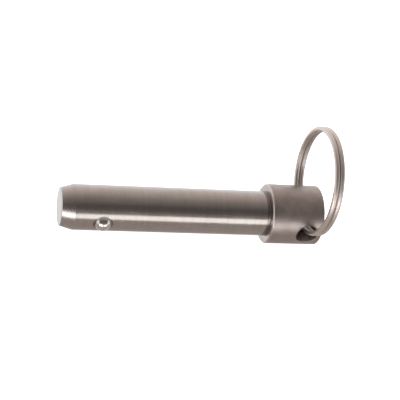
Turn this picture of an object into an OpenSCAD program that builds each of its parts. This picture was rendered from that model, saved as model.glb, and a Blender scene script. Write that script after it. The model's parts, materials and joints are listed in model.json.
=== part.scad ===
// Detent hitch pin with a ring grip, lying along X.
// A round shank is pressed into a larger collar head. Two balls stand out of the
// shank near its tip, with one spring between them, and a split ring hangs
// through the head. The origin is on the axis, at the head's front face, where
// the shank ends and the head begins. The tip points along -X.

/* [Shank] */
// Diameter of the shank
shank_d = 12.7; // [12.5:0.1:13]
// Length of the shank from the head's front face to its tip
shank_len = 58.7; // [58:0.1:90]
// Length of the ground grip, from the head's front face to the nose
grip_len = 44.7; // [32:0.1:44.7]
// How much smaller the nose is than the grip at the lead chamfer, on the radius
nose_relief = 0.02; // [0.01:0.01:0.1]
// Length of the lead chamfer at the tip
lead_len = 3.65; // [1:0.05:6]
// Diameter of the flat face at the tip
tip_d = 10.56; // [8:0.02:10.8]
// Diameter of the spigot that is pressed into the head
spigot_d = 12.2; // [11:0.1:12.2]
// Length of the spigot, down to the bottom of the head's bore
spigot_len = 6.4; // [4:0.1:6.8]

/* [Head] */
// Diameter of the collar head
head_d = 16.9; // [16:0.1:17.5]
// Length of the collar head
head_len = 15.3; // [15:0.1:26]
// Chamfer round the mouth of the bore for the spigot
bore_mouth_chamfer = 0.3; // [0.3:0.05:0.5]
// Chamfer round the head's front face
head_front_chamfer = 0.35; // [0.1:0.05:0.8]
// Edge break round the head's rear face
head_rear_chamfer = 0.2; // [0.1:0.05:0.6]
// Diameter of the cross-hole that the ring passes through
ring_hole_d = 6.2; // [6.1:0.1:6.6]
// Distance of the cross-hole's axis from the head's front face
ring_hole_x = 10.9; // [10.6:0.1:11.2]

/* [Detent] */
// Diameter of the detent balls
ball_d = 4.762; // [4.5:0.002:4.8]
// Distance of the ball station from the head's front face
ball_x = 47.3; // [47.3:0.1:52]
// Distance of a ball's centre from the shank's axis, pushed out to its lip
ball_out = 5.6; // [5.5:0.05:5.8]
// Radial gap round a ball in its hole
ball_gap = 0.04; // [0.02:0.01:0.08]
// Wire diameter of the detent spring
spring_wire = 0.5; // [0.3:0.05:0.6]
// Mean diameter of the detent spring
spring_d = 3.5; // [3.2:0.1:3.8]
// Number of turns in the detent spring
spring_turns = 6; // [4:1:6]

/* [Ring] */
// Wire diameter of the split ring
ring_wire = 1.5; // [1.2:0.05:1.55]
// Mean diameter of the split ring
ring_d = 29.3; // [29:0.1:30]
// Distance of the ring's centre from the cross-hole's axis
ring_reach = 13.45; // [13.4:0.05:13.6]
// Sideways shift of the ring in its hole, towards the head's rear
ring_shift = 1.0; // [0:0.1:1]
// Lean of the ring, measured from straight back, so that 90 is straight up
ring_lean = 87.5; // [0:0.5:160]
// Width of the gap at each cut end of the wire
ring_gap = 0.4; // [0.2:0.1:1]
// Angle between the two cut ends, round the ring
ring_step = 18; // [10:1:40]

/* [Hidden] */
$fn = 96;

shank_r = shank_d / 2;
tip_r = tip_d / 2;
spigot_r = spigot_d / 2;
spigot_chamfer = 0.5;
head_r = head_d / 2;
press_gap = 0.01;              // the spigot's and bore's walls, in the model
bore_r = spigot_r + press_gap;
nose_r = shank_r - nose_relief;

ball_r = ball_d / 2;
pocket_r = ball_r + ball_gap;

spring_r = spring_d / 2;
spring_wire_r = spring_wire / 2;
spring_seat_gap = 0.03;        // between an end turn and its ball
seat_r = ball_r + spring_wire_r + spring_seat_gap;
spring_half = ball_out - sqrt(seat_r * seat_r - spring_r * spring_r);
spring_end_turn = 0.75;        // turns laid flat at each end
spring_sides = 8;
spring_steps_a_turn = 18;

ring_wire_r = ring_wire / 2;
ring_r = ring_d / 2;
turn_overlap = 0.02;           // the two turns touch along their whole length
turn_offset = ring_wire_r - turn_overlap / 2;
ring_split_turn = 142;         // where the first cut end lies, round the ring

// Lays what is drawn along Z on its side, along X.
module along_x() {
    rotate([0, 90, 0])
        children();
}

// A cylinder along Y, centred on the axis, at a distance x from the origin.
module across(x, r, len) {
    translate([x, 0, 0])
        rotate([90, 0, 0])
            cylinder(r = r, h = len, center = true);
}

// Turned pin: tip face, lead chamfer, nose, ground grip and spigot in one piece.
module shank() {
    color([0.60, 0.57, 0.55])
        difference() {
            along_x()
                rotate_extrude()
                    polygon([
                        [0, -shank_len],
                        [tip_r, -shank_len],
                        [nose_r, -shank_len + lead_len],
                        [shank_r, -grip_len],
                        [shank_r, 0],
                        [spigot_r, 0],
                        [spigot_r, spigot_len - spigot_chamfer],
                        [spigot_r - spigot_chamfer, spigot_len],
                        [0, spigot_len]
                    ]);
            ball_hole();
        }
}

// The hole through the shank. Its ends are spherical, so a lip is left at each
// mouth that is smaller than the ball and keeps it in.
module ball_hole() {
    across(-ball_x, pocket_r, 2 * ball_out);
    for (side = [-1, 1])
        translate([-ball_x, side * ball_out, 0])
            sphere(r = pocket_r);
}

// Collar head: a blind bore for the spigot in front, a cross-hole behind it.
module collar_head() {
    color([0.52, 0.48, 0.46])
        difference() {
            along_x()
                rotate_extrude()
                    polygon([
                        [bore_r + bore_mouth_chamfer, 0],
                        [head_r - head_front_chamfer, 0],
                        [head_r, head_front_chamfer],
                        [head_r, head_len - head_rear_chamfer],
                        [head_r - head_rear_chamfer, head_len],
                        [0, head_len],
                        [0, spigot_len],
                        [bore_r, spigot_len],
                        [bore_r, bore_mouth_chamfer]
                    ]);
            across(ring_hole_x, ring_hole_d / 2, 2 * head_d);
        }
}

// One detent ball, out against its lip. side is -1 in front and 1 at the back.
module detent_ball(side) {
    color([0.78, 0.76, 0.74])
        translate([-ball_x, side * ball_out, 0])
            sphere(r = ball_r);
}

module detent_ball_front() {
    detent_ball(-1);
}

module detent_ball_back() {
    detent_ball(1);
}

// Height of the spring wire after a number of turns. The end turns lie flat
// enough to seat on a ball, and the turns between them are open.
function spring_y(t) =
    let (a = min(t, spring_end_turn),
         c = max(t - (spring_turns - spring_end_turn), 0),
         b = t - a - c,
         open_turns = spring_turns - 2 * spring_end_turn,
         flat_rise = 0.55 * spring_wire,
         open_rise = 2 * (spring_half - flat_rise) / open_turns)
    -spring_half + flat_rise * (a + c) / spring_end_turn + open_rise * b;

function spring_point(t, s) =
    let (turn = 360 * t,
         side = 360 * s / spring_sides,
         r = spring_r + spring_wire_r * cos(side))
    [r * cos(turn), spring_y(t) + spring_wire_r * sin(side), r * sin(turn)];

// Coil spring along Y between the two balls.
module detent_spring() {
    steps = spring_turns * spring_steps_a_turn;
    n = spring_sides;
    points = [for (i = [0:steps]) for (s = [0:n - 1])
        spring_point(i / spring_steps_a_turn, s)];
    walls = [for (i = [0:steps - 1]) for (s = [0:n - 1])
        let (u = (s + 1) % n)
        [n * i + s, n * i + u, n * (i + 1) + u, n * (i + 1) + s]];
    first_end = [[for (s = [0:n - 1]) n - 1 - s]];
    last_end = [[for (s = [0:n - 1]) n * steps + s]];
    color([0.45, 0.44, 0.43])
        translate([-ball_x, 0, 0])
            polyhedron(points, concat(walls, first_end, last_end), convexity = 8);
}

// A thin slot across one turn of the ring, which leaves its two cut ends.
// angle is round the ring, and layer is -1 or 1 for the turn that is cut.
module wire_cut(angle, layer) {
    rotate([0, 0, angle])
        translate([ring_r - ring_wire, -ring_gap / 2, layer > 0 ? 0 : -2 * ring_wire])
            cube([2 * ring_wire, ring_gap, 2 * ring_wire]);
}

// Split ring: two turns of wire, side by side, through the head's cross-hole.
module split_ring() {
    color([0.72, 0.70, 0.68])
        translate([ring_hole_x, 0, 0])
            rotate([0, -ring_lean, 0])
                translate([ring_reach, 0, -ring_shift])
                    difference() {
                        rotate_extrude()
                            for (layer = [-1, 1])
                                translate([ring_r, layer * turn_offset])
                                    circle(r = ring_wire_r);
                        wire_cut(ring_split_turn, 1);
                        wire_cut(ring_split_turn + ring_step, -1);
                    }
}

shank();
collar_head();
detent_ball_front();
detent_ball_back();
detent_spring();
split_ring();
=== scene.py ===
import json
import math

import bmesh
import bpy
from mathutils import Matrix, Vector


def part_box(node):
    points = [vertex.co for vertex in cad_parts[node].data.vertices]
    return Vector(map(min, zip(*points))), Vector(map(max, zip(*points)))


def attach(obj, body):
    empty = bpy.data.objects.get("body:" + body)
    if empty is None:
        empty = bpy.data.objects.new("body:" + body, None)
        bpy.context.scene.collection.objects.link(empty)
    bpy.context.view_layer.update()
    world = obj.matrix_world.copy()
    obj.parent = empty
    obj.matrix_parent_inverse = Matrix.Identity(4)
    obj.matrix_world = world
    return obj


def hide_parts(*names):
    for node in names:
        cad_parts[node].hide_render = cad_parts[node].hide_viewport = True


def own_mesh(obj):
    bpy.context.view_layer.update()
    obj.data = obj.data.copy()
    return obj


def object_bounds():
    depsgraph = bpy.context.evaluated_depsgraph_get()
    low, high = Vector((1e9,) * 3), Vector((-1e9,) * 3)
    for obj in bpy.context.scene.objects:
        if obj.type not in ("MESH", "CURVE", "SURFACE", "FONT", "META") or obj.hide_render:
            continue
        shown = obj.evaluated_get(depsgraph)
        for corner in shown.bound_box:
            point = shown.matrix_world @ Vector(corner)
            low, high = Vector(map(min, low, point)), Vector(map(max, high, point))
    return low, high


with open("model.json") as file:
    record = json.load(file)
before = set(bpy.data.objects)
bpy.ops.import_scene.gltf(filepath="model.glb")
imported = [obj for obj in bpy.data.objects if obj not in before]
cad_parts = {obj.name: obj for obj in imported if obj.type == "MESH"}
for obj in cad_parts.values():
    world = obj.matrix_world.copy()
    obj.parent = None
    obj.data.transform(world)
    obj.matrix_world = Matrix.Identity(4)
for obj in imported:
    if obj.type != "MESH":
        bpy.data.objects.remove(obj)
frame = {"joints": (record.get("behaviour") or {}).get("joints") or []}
cad_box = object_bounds()
MM = 0.001

# ---------------------------------------------------------------- camera
# A long lens looks down on the pin from its tip side, rolled so that the shank
# runs almost level across the view.
SIGHT_TURN = math.radians(21.27)
SIGHT_DROP = math.radians(42.09)
SIGHT_ROLL = math.radians(16.76)
SIGHT_TARGET = Vector((-17.66, 5.86, -1.35)) * MM
SIGHT_DISTANCE = 338 * MM
LENS = 106.695

to_camera = Vector((
    -math.sin(SIGHT_TURN) * math.cos(SIGHT_DROP),
    -math.cos(SIGHT_TURN) * math.cos(SIGHT_DROP),
    math.sin(SIGHT_DROP),
))
camera_data = bpy.data.cameras.new("camera")
camera_data.lens = LENS
camera_data.clip_start = 0.01
camera_data.clip_end = 20
camera = bpy.data.objects.new("camera", camera_data)
camera.location = SIGHT_TARGET + to_camera * SIGHT_DISTANCE
level = (-to_camera).to_track_quat("-Z", "Y")
camera.rotation_mode = "QUATERNION"
camera.rotation_quaternion = level @ Matrix.Rotation(SIGHT_ROLL, 3, "Z").to_quaternion()
bpy.context.collection.objects.link(camera)
bpy.context.scene.camera = camera


# ---------------------------------------------------------------- floor and light
# A plain white sweep under the pin and one soft studio: a broad fill from above, two
# panels in front, one at each side, and a surround that is white at the back and dark
# behind the camera.
class Socket:
    """One output in a node tree. Arithmetic on it adds the Math nodes that work it out."""

    def __init__(self, tree, link=None):
        self.tree = tree
        self.link = link

    def add(self, kind, settings=None, sockets=None, out=0):
        """Adds any other node: its settings first, then the values or links of its sockets."""
        node = self.tree.nodes.new(kind)
        for name, value in (settings or {}).items():
            if name == "stops":
                set_stops(node.color_ramp.elements, value)
            else:
                setattr(node, name, value)
        for name, value in (sockets or {}).items():
            if isinstance(value, Socket):
                self.tree.links.new(value.link, node.inputs[name])
            else:
                node.inputs[name].default_value = value
        return Socket(self.tree, node.outputs[out]) if node.outputs else None

    def math(self, operation, first, second=0.0):
        return self.add("ShaderNodeMath", {"operation": operation}, {0: first, 1: second})

    def __add__(self, other):
        return self.math("ADD", self, other)

    def __sub__(self, other):
        return self.math("SUBTRACT", self, other)

    def __mul__(self, other):
        return self.math("MULTIPLY", self, other)

    def __truediv__(self, other):
        return self.math("DIVIDE", self, other)

    def __radd__(self, other):
        return self.math("ADD", other, self)

    def __rsub__(self, other):
        return self.math("SUBTRACT", other, self)

    def __rmul__(self, other):
        return self.math("MULTIPLY", other, self)


def set_stops(elements, stops):
    """Stops are (place, grey) or (place, (red, green, blue)) pairs."""
    while len(elements) < len(stops):
        elements.new(1.0)
    for element, (place, colour) in zip(elements, stops):
        element.position = place
        colour = (colour,) * 3 if isinstance(colour, float) else colour
        element.color = (*colour, 1.0)


FLOOR_SIZE = 3.0
FLOOR_GAP = 0.2 * MM
FLOOR_WHITE = (0.92, 0.92, 0.92, 1)
FLOOR_GLOW = 0.9

bpy.context.scene.view_settings.view_transform = "Standard"

floor_mesh = bpy.data.meshes.new("floor")
floor_shape = bmesh.new()
bmesh.ops.create_grid(floor_shape, x_segments=1, y_segments=1, size=FLOOR_SIZE / 2)
bmesh.ops.translate(floor_shape, verts=floor_shape.verts, vec=(0, 0, cad_box[0].z - FLOOR_GAP))
floor_shape.to_mesh(floor_mesh)
floor_shape.free()
floor = bpy.data.objects.new("floor", floor_mesh)
bpy.context.collection.objects.link(floor)
# The floor is a light table: it glows a little, so that nothing on it throws a hard shadow.
floor_paint = bpy.data.materials.new("floor_white")
floor_paint.use_nodes = True
floor_shader = floor_paint.node_tree.nodes["Principled BSDF"]
floor_shader.inputs["Base Color"].default_value = FLOOR_WHITE
floor_shader.inputs["Roughness"].default_value = 0.9
floor_shader.inputs["Specular IOR Level"].default_value = 0.1
floor_shader.inputs["Emission Color"].default_value = (1, 1, 1, 1)
floor_shader.inputs["Emission Strength"].default_value = FLOOR_GLOW
floor.data.materials.append(floor_paint)
floor.visible_glossy = False


def soft_light(name, place, width, height, radiance, reflected):
    """A rectangle of light aimed at the pin. Unless it is reflected it isn't seen in the pieces."""
    data = bpy.data.lights.new(name, "AREA")
    data.shape = "RECTANGLE"
    data.size = width
    data.size_y = height
    data.energy = radiance * width * height * math.pi
    light = bpy.data.objects.new(name, data)
    light.location = place
    light.rotation_mode = "QUATERNION"
    light.rotation_quaternion = (-Vector(place)).to_track_quat("-Z", "Y")
    light.visible_glossy = reflected
    light.visible_camera = False
    bpy.context.collection.objects.link(light)


soft_light("fill_above", (0.0, 0.0, 1.2), 1.6, 1.6, 2.7, False)
soft_light("strip_front", (0.22, -0.56, -0.02), 0.54, 0.26, 1.65, True)
soft_light("key_left", (-0.31, -0.50, -0.02), 0.46, 0.26, 3.0, True)
soft_light("side_left", (-0.7, -0.12, 0.12), 0.5, 0.5, 0.75, True)
soft_light("side_right", (0.7, -0.22, 0.15), 0.5, 0.5, 0.75, True)

world = bpy.data.worlds.new("studio")
bpy.context.scene.world = world
world.use_nodes = True
world.node_tree.nodes.clear()
sky = Socket(world.node_tree)
# How bright the surround is, by the angle of a direction above the front horizon, over
# the top to the back: a white wall at the back, a dark room behind the camera, and a
# grey table below. Its dark parts are warm.
SURROUND = [
    (-180, 1.2), (-135, 1.2), (-105, 0.5), (10, 0.45), (35, 0.15), (55, 0.13), (95, 0.37),
    (140, 0.8), (180, 1.2),
]
BRIGHTEST = 1.2
NEUTRAL_FROM = 0.9
WARMTH = (1.08, 0.95, 0.88)


def warmed(brightness):
    """A grey of the surround, as a share of its brightest, with more warmth where it is dark."""
    pale = max(brightness - NEUTRAL_FROM, 0) / (BRIGHTEST - NEUTRAL_FROM)
    return tuple(brightness / BRIGHTEST * (tint * (1 - pale) + pale) for tint in WARMTH)


toward = sky.add("ShaderNodeTexCoord", out="Generated")
split = toward.add("ShaderNodeSeparateXYZ", sockets={0: toward})
up = Socket(world.node_tree, split.link.node.outputs["Z"])
back = Socket(world.node_tree, split.link.node.outputs["Y"])
angle = sky.math("ARCTAN2", up, back * -1)
share = angle / (2 * math.pi) + 0.5
surround = sky.add(
    "ShaderNodeValToRGB",
    {"stops": [((a + 180) / 360, warmed(brightness)) for a, brightness in SURROUND]},
    {0: share},
)
seen = sky.add("ShaderNodeLightPath", out="Is Camera Ray")
backdrop = sky.add(
    "ShaderNodeMix",
    {"data_type": "RGBA"},
    {0: seen, "A": surround, "B": (1.0, 1.0, 1.0, 1.0)},
    out="Result",
)
glow = sky.add("ShaderNodeBackground", sockets={"Color": backdrop, "Strength": BRIGHTEST})
sky.add("ShaderNodeOutputWorld", sockets={"Surface": glow})


# ---------------------------------------------------------------- shank
# A round bar of ground steel with a turned lead chamfer, whose tail is pressed into the
# head. A cross-hole near the tip holds two balls. The edge of each of its mouths is
# staked over, so that the ball can't drop out.
shank_low, shank_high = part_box("shank")
SHANK_R = shank_high.z
LEAD_LEN = 3.65 * MM
TIP_R = 5.28 * MM
NOSE_RELIEF = 0.02 * MM
NOSE_EASE = 0.2 * MM
NOSE_LEAST = math.radians(12)
EDGE_BREAK = 0.12 * MM
SPIGOT_R = 6.1 * MM
BALL_LOW, BALL_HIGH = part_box("detent_ball_front")
BALL_R = (BALL_HIGH.z - BALL_LOW.z) / 2
BALL_X = (BALL_LOW.x + BALL_HIGH.x) / 2
BALL_OUT = -(BALL_LOW.y + BALL_HIGH.y) / 2
BALL_GAP = 0.04 * MM
POCKET_R = BALL_R + BALL_GAP
ROUND_STEPS = 256
SLIVER = 0.003 * MM
SAME_PLACE = 0.0005 * MM
AT_PLACE = 0.01 * MM
SHANK_RUN = 2.2 * MM


def turned(profile, steps, axis="X"):
    """Spins an outline of (along, radius) points about an axis into a closed solid."""
    shape = bmesh.new()
    line = [shape.verts.new((along, 0, radius)) for along, radius in profile]
    for a, b in zip(line, line[1:]):
        shape.edges.new((a, b))
    bmesh.ops.spin(
        shape,
        geom=shape.verts[:] + shape.edges[:],
        cent=(0, 0, 0),
        axis=(1, 0, 0),
        angle=2 * math.pi,
        steps=steps,
        use_merge=True,
    )
    bmesh.ops.remove_doubles(shape, verts=shape.verts, dist=SAME_PLACE)
    bmesh.ops.recalc_face_normals(shape, faces=shape.faces)
    if axis == "Y":
        bmesh.ops.rotate(shape, verts=shape.verts, matrix=Matrix.Rotation(math.pi / 2, 3, "Z"))
    return shape


def spaced(start, end, step):
    """Points from start towards end, about a step apart, without the last one."""
    (x0, r0), (x1, r1) = start, end
    count = max(1, round(math.hypot(x1 - x0, r1 - r0) / step))
    return [(x0 + (x1 - x0) * i / count, r0 + (r1 - r0) * i / count) for i in range(count)]


def outline(corners, step):
    """An outline through the corners, with long runs divided."""
    points = []
    for a, b in zip(corners, corners[1:]):
        points += spaced(a, b, step)
    return points + [corners[-1]]


def ease_edges(shape, width, segments=3, least=math.radians(20), near=None):
    """Rounds off every edge that is sharper than least, or only those at one place along X."""
    sharp = [
        e for e in shape.edges
        if e.is_manifold and e.calc_face_angle(0) > least
        and (near is None or sum(abs(v.co.x - near) for v in e.verts) < AT_PLACE)
    ]
    bmesh.ops.bevel(
        shape, geom=sharp, offset=width, offset_type="OFFSET", affect="EDGES",
        segments=segments, profile=0.5, material=-1, clamp_overlap=True,
    )


def piece(name, shape):
    """Makes an object of a bmesh, smooth-shaded, with its place in its mesh."""
    mesh = bpy.data.meshes.new(name)
    shape.to_mesh(mesh)
    shape.free()
    made = bpy.data.objects.new(name, mesh)
    bpy.context.collection.objects.link(made)
    mesh.shade_smooth()
    return made


def cut(made, shape):
    """Cuts a closed bmesh out of a piece, and clears the slivers that the cut leaves."""
    tool = piece("cutter", shape)
    change = made.modifiers.new("cut", "BOOLEAN")
    change.operation = "DIFFERENCE"
    change.solver = "EXACT"
    change.object = tool
    shaped = made.evaluated_get(bpy.context.evaluated_depsgraph_get())
    mesh = bpy.data.meshes.new_from_object(shaped)
    made.modifiers.clear()
    result = bmesh.new()
    result.from_mesh(mesh)
    bmesh.ops.remove_doubles(result, verts=result.verts, dist=SLIVER)
    bmesh.ops.dissolve_degenerate(result, edges=result.edges, dist=SLIVER)
    bmesh.ops.triangulate(result, faces=[face for face in result.faces if len(face.verts) > 4])
    bmesh.ops.dissolve_degenerate(result, edges=result.edges, dist=SLIVER)
    result.to_mesh(mesh)
    result.free()
    old = made.data
    made.data = mesh
    mesh.name = old.name
    bpy.data.meshes.remove(old)
    bpy.data.objects.remove(tool)


def crisp(made, angle=math.radians(32)):
    """Keeps edges that turn more than an angle sharp, and shades the rest smooth."""
    made.data.shade_smooth()
    made.data.set_sharp_from_angle(angle=angle)


tip_x = shank_low.x
shank_shape = turned(
    outline(
        [
            (tip_x, 0),
            (tip_x, TIP_R),
            (tip_x + LEAD_LEN, SHANK_R - NOSE_RELIEF),
            (0, SHANK_R),
            (0, SPIGOT_R),
            (shank_high.x, SPIGOT_R),
            (shank_high.x, 0),
        ],
        SHANK_RUN,
    ),
    ROUND_STEPS,
)
ease_edges(shank_shape, NOSE_EASE, least=NOSE_LEAST, near=tip_x + LEAD_LEN)
ease_edges(shank_shape, EDGE_BREAK)
shank = piece("shank_body", shank_shape)

# The cutter for the ball hole, from the middle out: bore, spherical seat, lip, and the
# ring that the stake punch left.
LIP_CREST = (6.33 * MM, 2.40 * MM)
STAKE_FLOOR = (6.05 * MM, 2.50 * MM)
STAKE_RIM = (6.42 * MM, 2.86 * MM)
CUTTER_END = 9 * MM
HOLE_STEPS = 96
SEAT_ANGLES = (0, 4, 8, 12, 15, 17)
seat_arc = [
    (BALL_OUT + POCKET_R * math.sin(t), POCKET_R * math.cos(t))
    for t in [math.radians(a) for a in SEAT_ANGLES]
]
half_hole = seat_arc + [
    LIP_CREST, STAKE_FLOOR, STAKE_RIM, (CUTTER_END, STAKE_RIM[1]), (CUTTER_END, 0),
]
other_half = [(-along, r) for along, r in reversed(half_hole)]
ball_hole = turned(other_half + half_hole, HOLE_STEPS, "Y")
bmesh.ops.translate(ball_hole, verts=ball_hole.verts, vec=(BALL_X, 0, 0))
cut(shank, ball_hole)
crisp(shank)
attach(shank, "pin")
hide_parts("shank")


def begin(name):
    """Starts a material: gives it, its first socket, and the place on the piece in mm."""
    material = bpy.data.materials.new(name)
    material.use_nodes = True
    tree = material.node_tree
    shades = Socket(tree)
    place = shades.add("ShaderNodeTexCoord", out="Object")
    mm = shades.add("ShaderNodeVectorMath", {"operation": "SCALE"}, {0: place, "Scale": 1000})
    return material, shades, mm


def metal(material, shades, colour, roughness, height, depth):
    """Ends a bare metal: colour and roughness may vary, and height raises or sinks its skin."""
    shader = material.node_tree.nodes["Principled BSDF"]
    shader.inputs["Metallic"].default_value = 1.0
    for name, value in (("Base Color", colour), ("Roughness", roughness)):
        if isinstance(value, Socket):
            material.node_tree.links.new(value.link, shader.inputs[name])
        else:
            shader.inputs[name].default_value = value
    bump = shades.add(
        "ShaderNodeBump", None, {"Strength": 1.0, "Distance": depth, "Height": height}, out="Normal"
    )
    material.node_tree.links.new(bump.link, shader.inputs["Normal"])
    return material


def noise(shades, place, stretch, detail=2.0, roughness=0.5):
    """Noise over a place in mm, with so many waves a millimetre along each axis."""
    spot = shades.add(
        "ShaderNodeVectorMath", {"operation": "MULTIPLY"}, {0: place, 1: stretch}, out="Vector"
    )
    return shades.add(
        "ShaderNodeTexNoise",
        None,
        {"Vector": spot, "Scale": 1.0, "Detail": detail, "Roughness": roughness},
        out=0,
    )


def around_axis(shades, mm):
    """How far a point is along the bar, and from its axis, in mm."""
    split = shades.add("ShaderNodeSeparateXYZ", None, {0: mm})
    x, y, z = (Socket(shades.tree, split.link.node.outputs[name]) for name in "XYZ")
    return x, y, z, shades.math("SQRT", y * y + z * z)


def ramp(shades, value, *stops):
    return shades.add("ShaderNodeValToRGB", {"stops": stops}, {0: value})


def ground_steel():
    """Grinding lines run round the bar and across its end, with a few long rubbed scratches."""
    material, shades, mm = begin("ground_steel")
    x, y, z, radius = around_axis(shades, mm)
    turn = shades.add("ShaderNodeCombineXYZ", None, {0: x + radius, 1: y, 2: z})
    lines = noise(shades, turn, (13, 0.12, 0.12), 4, 0.6)
    bands = noise(shades, turn, (1.3, 0.05, 0.05), 2)
    smears = noise(shades, mm, (0.16, 0.3, 0.3), 3)
    scratches = ramp(shades, noise(shades, mm, (0.22, 7, 7), 2), (0.66, 0.0), (0.72, 1.0))
    chamfer = shades.math("LESS_THAN", x, (tip_x + LEAD_LEN) / MM)
    roughness = 0.08 + lines * 0.1 + smears * 0.12 + scratches * 0.1 + chamfer * 0.06
    tone = bands * 0.35 + smears * 0.45 + lines * 0.2
    colour = ramp(shades, tone, (0.3, (0.39, 0.36, 0.345)), (0.7, (0.48, 0.45, 0.435)))
    height = lines + scratches * -0.8
    return metal(material, shades, colour, roughness, height, 0.003 * MM)


shank.data.materials.clear()
shank.data.materials.append(ground_steel())

# ---------------------------------------------------------------- collar head
# A short steel collar, turned to a satin finish, bored blind for the shank's tail
# and drilled across for the ring. Its edges are lightly broken.
head_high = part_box("collar_head")[1]
HEAD_R = head_high.z
HEAD_LEN = head_high.x
BORE_GAP = 0.01 * MM
BORE_R = SPIGOT_R + BORE_GAP
joints = {joint["name"]: joint for joint in frame["joints"]}
RING_HOLE_X = joints["ring_swing"]["pos_m"][0]
RING_HOLE_R = 3.1 * MM
FRONT_CHAMFER = 0.35 * MM
REAR_CHAMFER = 0.2 * MM
MOUTH_CHAMFER = 0.12 * MM
MOUTH_EASE = 0.22 * MM
HEAD_EASE = 0.06 * MM
DRILL_STEPS = 128
HEAD_RUN = 1.5 * MM
# How far the painted edge highlight, on edges that are also smoother, runs past each edge, and how
# close to a face counts as on it, in mm. The feed of the lathe is in mm a turn.
FRONT_HIGHLIGHT_REACH = 0.08
REAR_HIGHLIGHT_REACH = 0.04
MOUTH_HIGHLIGHT_REACH = 0.02
ON_FACE = 0.02
ON_WALL = 0.01
FEED_PITCH = 0.19

head_shape = turned(
    outline(
        [
            (shank_high.x, 0),
            (shank_high.x, BORE_R),
            (MOUTH_CHAMFER, BORE_R),
            (0, BORE_R + MOUTH_CHAMFER),
            (0, HEAD_R - FRONT_CHAMFER),
            (FRONT_CHAMFER, HEAD_R),
            (HEAD_LEN - REAR_CHAMFER, HEAD_R),
            (HEAD_LEN, HEAD_R - REAR_CHAMFER),
            (HEAD_LEN, 0),
        ],
        HEAD_RUN,
    ),
    ROUND_STEPS,
)
ease_edges(head_shape, HEAD_EASE)
head = piece("collar", head_shape)

# The drill for the ring's hole, with a flare at each mouth that follows the round
# of the collar, so that its edge is broken by the same amount all the way round. The
# flare starts inside the skin and runs on past it, and no corner of it lies on the skin.
FLARE_BEND = MOUTH_EASE * 0.4
FLARE_INNER_R = RING_HOLE_R + MOUTH_EASE * 0.3
FLARE_OUTER_R = RING_HOLE_R + MOUTH_EASE * 1.7
flare = [
    (HEAD_R - MOUTH_EASE, RING_HOLE_R),
    (HEAD_R - FLARE_BEND, FLARE_INNER_R),
    (HEAD_R + FLARE_BEND, FLARE_OUTER_R),
    (2 * HEAD_R, RING_HOLE_R + HEAD_R + MOUTH_EASE),
    (2 * HEAD_R, 0),
]
drill = turned([(-along, r) for along, r in reversed(flare)] + flare, DRILL_STEPS, "Y")
for vert in drill.verts:
    across = min(abs(vert.co.z), HEAD_R)
    fall = HEAD_R - math.sqrt(HEAD_R**2 - across**2)
    vert.co.y -= math.copysign(fall, vert.co.y)
bmesh.ops.translate(drill, verts=drill.verts, vec=(RING_HOLE_X, 0, 0))
cut(head, drill)
crisp(head)
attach(head, "pin")
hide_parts("collar_head")


def between(shades, value, low, high):
    return shades.math("GREATER_THAN", value, low) * shades.math("LESS_THAN", value, high)


def turned_steel():
    """Fine feed lines from the lathe and the drill, a smoother front face, and smoother edges
    painted brighter as a painted highlight.
    """
    material, shades, mm = begin("turned_steel")
    x, y, z, radius = around_axis(shades, mm)
    hole_x = x - RING_HOLE_X / MM
    from_hole = shades.math("SQRT", hole_x * hole_x + z * z)
    hole_r = RING_HOLE_R / MM
    drilled = shades.math("LESS_THAN", from_hole, hole_r + ON_WALL)
    along = (x + radius) * (1 - drilled) + y * drilled
    feed = shades.math("SINE", along * (2 * math.pi / FEED_PITCH))
    turn = shades.add("ShaderNodeCombineXYZ", None, {0: along, 1: y, 2: z})
    cut_marks = noise(shades, turn, (9, 0.1, 0.1), 3, 0.6)
    blotches = noise(shades, mm, (0.35, 0.35, 0.35), 4)
    face = shades.math("LESS_THAN", x, ON_FACE)
    front_edge = (HEAD_R - FRONT_CHAMFER) / MM - FRONT_HIGHLIGHT_REACH
    rear_edge = (HEAD_R + HEAD_LEN - REAR_CHAMFER) / MM - REAR_HIGHLIGHT_REACH
    mouth_edge = hole_r + MOUTH_EASE / MM + MOUTH_HIGHLIGHT_REACH
    front_rim = shades.math("GREATER_THAN", radius - x, front_edge)
    rear_rim = shades.math("GREATER_THAN", x + radius, rear_edge)
    mouth = between(shades, from_hole, hole_r + ON_WALL, mouth_edge)
    # Painted highlight: the chamfers and the ring hole's mouths are painted brighter. They are also
    # made smoother.
    edge_highlight_and_polish = shades.math("MAXIMUM", shades.math("MAXIMUM", front_rim, rear_rim), mouth)
    roughness = 0.3 + cut_marks * 0.1 + blotches * 0.1 - face * 0.14 - edge_highlight_and_polish * 0.12
    # The colour is lifted on the edges as a painted highlight.
    colour = ramp(
        shades, blotches * 0.8 + cut_marks * 0.2 + edge_highlight_and_polish * 0.4,
        (0.3, (0.335, 0.296, 0.284)), (0.7, (0.455, 0.405, 0.388)), (1.0, (0.56, 0.515, 0.50)),
    )
    return metal(material, shades, colour, roughness, cut_marks + feed * 0.25, 0.006 * MM)


head.data.materials.clear()
head.data.materials.append(turned_steel())

# ---------------------------------------------------------------- detent balls
# Two hardened and polished bearing balls. Each sits in its own end of the cross-hole,
# where the spring pushes it out against the staked lip.
BALL_TURNS = 96
BALL_RINGS = 64


def ball_steel():
    """A mirror polish, with a faint haze and a few fine scuffs."""
    material, shades, mm = begin("ball_steel")
    haze = noise(shades, mm, (0.8, 0.8, 0.8), 3)
    scuffs = ramp(shades, noise(shades, mm, (5, 0.6, 5), 3), (0.62, 0.0), (0.7, 1.0))
    colour = ramp(shades, haze, (0.35, (0.60, 0.565, 0.55)), (0.65, (0.66, 0.63, 0.615)))
    roughness = 0.05 + haze * 0.06 + scuffs * 0.06
    return metal(material, shades, colour, roughness, haze + scuffs * -0.3, 0.001 * MM)


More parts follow.
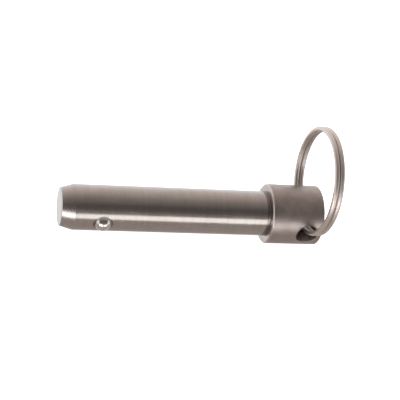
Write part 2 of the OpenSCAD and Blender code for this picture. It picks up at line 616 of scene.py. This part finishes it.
polished = ball_steel()
for side, word in ((-1, "front"), (1, "back")):
    shape = bmesh.new()
    bmesh.ops.create_uvsphere(shape, u_segments=BALL_TURNS, v_segments=BALL_RINGS, radius=BALL_R)
    bmesh.ops.translate(shape, verts=shape.verts, vec=(BALL_X, side * BALL_OUT, 0))
    ball = piece(f"ball_{word}", shape)
    ball.data.materials.append(polished)
    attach(ball, f"ball_{word}")
    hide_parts(f"detent_ball_{word}")

# ---------------------------------------------------------------- detent spring
# One coil spring pushes both balls out. It is drawn in two halves, which meet in the middle.
SPRING_R = 1.75 * MM
SPRING_WIRE_R = 0.25 * MM
SPRING_SIDES = 12
SPRING_TURNS = 3
TURN_STEPS = 36
CURVE_SEAM = 0.002 * MM
PRESSED = -joints["ball_front_slide"]["range_m"][0]
spring_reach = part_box("detent_spring")[1].y - SPRING_WIRE_R


def swept(name, points, radius, sides):
    """A round wire along a row of points, with flat cut ends."""
    line = bpy.data.curves.new(name, "CURVE")
    line.dimensions = "3D"
    line.bevel_depth = radius
    line.bevel_resolution = sides // 4 - 1
    line.use_fill_caps = True
    run = line.splines.new("POLY")
    run.points.add(len(points) - 1)
    for point, co in zip(run.points, points):
        point.co = (*co, 1)
    carrier = bpy.data.objects.new(name, line)
    bpy.context.collection.objects.link(carrier)
    mesh = bpy.data.meshes.new_from_object(
        carrier.evaluated_get(bpy.context.evaluated_depsgraph_get())
    )
    bpy.data.objects.remove(carrier)
    shape = bmesh.new()
    shape.from_mesh(mesh)
    bpy.data.meshes.remove(mesh)
    bmesh.ops.remove_doubles(shape, verts=shape.verts, dist=CURVE_SEAM)
    bmesh.ops.recalc_face_normals(shape, faces=shape.faces)
    return shape


def spring_point(turn, side):
    angle = 2 * math.pi * turn
    rise = spring_reach * turn / SPRING_TURNS
    return Vector((
        BALL_X + SPRING_R * math.cos(angle), side * rise, side * SPRING_R * math.sin(angle),
    ))


def spring_steel():
    """Dark drawn wire, a little uneven."""
    material, shades, mm = begin("spring_steel")
    drawn = noise(shades, mm, (3, 3, 3), 3)
    colour = ramp(shades, drawn, (0.3, (0.24, 0.225, 0.21)), (0.7, (0.32, 0.305, 0.29)))
    return metal(material, shades, colour, 0.3 + drawn * 0.15, drawn, 0.003 * MM)


wire_steel = spring_steel()
for side, word in ((-1, "front"), (1, "back")):
    steps = SPRING_TURNS * TURN_STEPS
    points = [spring_point(SPRING_TURNS * i / steps, side) for i in range(steps + 1)]
    coil = swept(f"spring_{word}", points, SPRING_WIRE_R, SPRING_SIDES)
    half = piece(f"spring_{word}", coil)
    half.data.materials.append(wire_steel)
    crisp(half, math.radians(50))
    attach(half, "pin")
    1 - PRESSED / spring_reach
    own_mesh(half)
    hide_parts("detent_spring")

# ---------------------------------------------------------------- split ring
# One length of spring steel wire, wound in two turns side by side. It steps from one
# turn to the other beside its own cut ends, and is threaded through the head's hole.
ring_low, ring_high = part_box("split_ring")
RING_WIRE_R = 0.735 * MM
TURN_GAP = 0.02 * MM
RING_CLEAR = 0.015 * MM
ring_centre = (ring_low + ring_high) / 2
RING_R = (ring_high.y - ring_low.y) / 2 - RING_WIRE_R - RING_CLEAR
RING_LEAN = math.radians(87.5)
STEP_FROM = math.radians(142)
STEP_TO = math.radians(160)
END_GAP = math.radians(0.8)
END_EASE = 0.1 * MM
RING_STEPS = 420
RING_SIDES = 32

ring_out = Vector((math.cos(RING_LEAN), 0, math.sin(RING_LEAN)))
ring_side = Vector((-math.sin(RING_LEAN), 0, math.cos(RING_LEAN)))


def ring_point(angle):
    """The wire's middle after an angle, counted from its first end, which is at STEP_TO."""
    lap = 2 * math.pi
    step = STEP_TO - STEP_FROM
    share = min(max((angle - (lap - step)) / step, 0.0), 1.0)
    shift = -1 + 2 * (share * share * (3 - 2 * share))
    around = STEP_TO + angle
    return (
        ring_centre
        + ring_out * RING_R * math.cos(around)
        + Vector((0, 1, 0)) * RING_R * math.sin(around)
        + ring_side * shift * (RING_WIRE_R + TURN_GAP / 2)
    )


def ring_wire():
    """Drawing lines run along the wire, so they depend only on the place across it."""
    material, shades, mm = begin("ring_wire")
    from_centre = shades.add(
        "ShaderNodeVectorMath", {"operation": "SUBTRACT"}, {0: mm, 1: tuple(ring_centre / MM)}
    )
    aside = shades.add(
        "ShaderNodeVectorMath", {"operation": "DOT_PRODUCT"},
        {0: from_centre, 1: tuple(ring_side)}, out="Value",
    )
    reach = shades.add(
        "ShaderNodeVectorMath", {"operation": "LENGTH"}, {0: from_centre}, out="Value"
    )
    across = shades.add("ShaderNodeCombineXYZ", None, {0: aside, 1: reach})
    drawn = noise(shades, across, (5, 5, 5), 3, 0.6)
    smears = noise(shades, mm, (0.5, 0.5, 0.5), 4)
    colour = ramp(
        shades, smears * 0.6 + drawn * 0.4,
        (0.3, (0.59, 0.54, 0.512)), (0.7, (0.69, 0.64, 0.612)),
    )
    roughness = 0.3 + smears * 0.12 + drawn * 0.1
    return metal(material, shades, colour, roughness, drawn, 0.004 * MM)


wire_angle = 4 * math.pi - (STEP_TO - STEP_FROM) - END_GAP
ring_points = [
    ring_point(END_GAP / 2 + (wire_angle - END_GAP / 2) * i / RING_STEPS)
    for i in range(RING_STEPS + 1)
]
ring_shape = swept("ring", ring_points, RING_WIRE_R, RING_SIDES)
ease_edges(ring_shape, END_EASE, least=math.radians(60))
ring = piece("split_ring_wire", ring_shape)
crisp(ring, math.radians(50))
ring.data.materials.append(ring_wire())
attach(ring, "ring")
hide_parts("split_ring")
